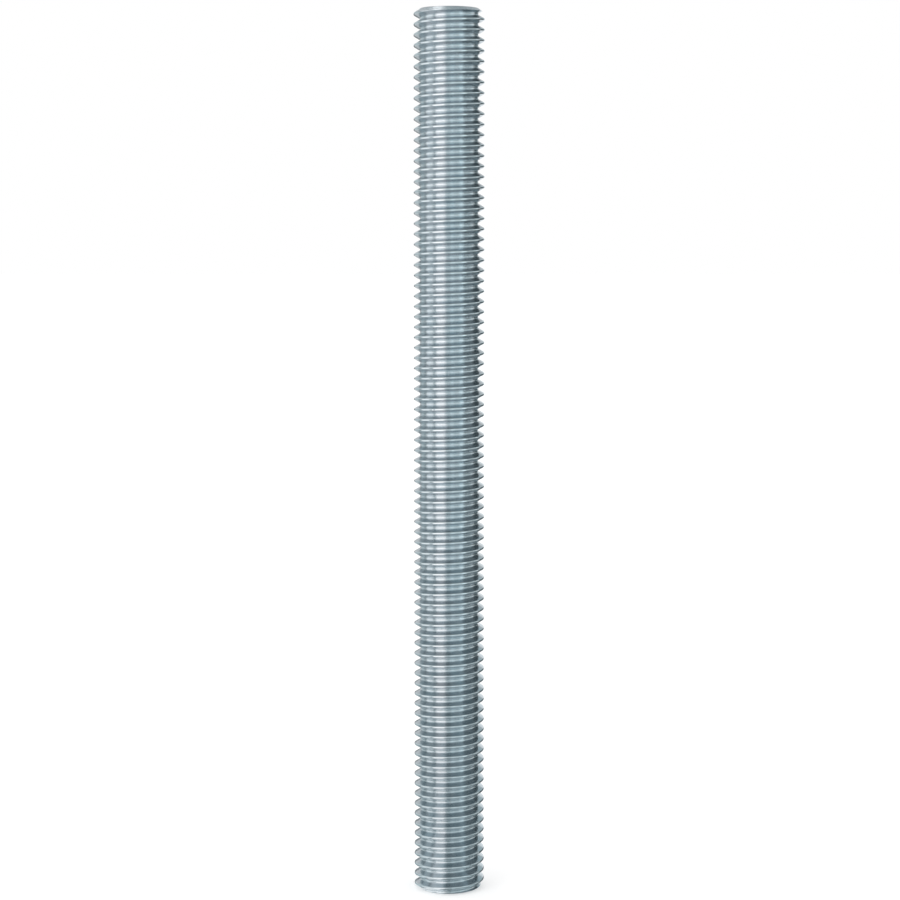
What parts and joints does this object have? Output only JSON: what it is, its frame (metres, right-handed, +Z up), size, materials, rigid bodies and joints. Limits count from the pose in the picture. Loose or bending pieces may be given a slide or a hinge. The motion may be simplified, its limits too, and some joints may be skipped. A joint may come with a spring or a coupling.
{
  "type": "threaded rod",
  "caption": "Round steel rod with a right-hand metric thread over its whole length and a chamfer at each end.",
  "frame": {"origin": "centre of the lower end face, which the rod stands on", "axes": "+Z up along the rod's axis; +X where the lowest whole crest is 1.7 mm above the end face"},
  "size_m": [0.012, 0.012, 0.1505],
  "materials": {
    "zinc_plated_steel": "satin"
  },
  "bodies": {
    "root": {"threaded_rod": "zinc_plated_steel"}
  },
  "joints": []
}
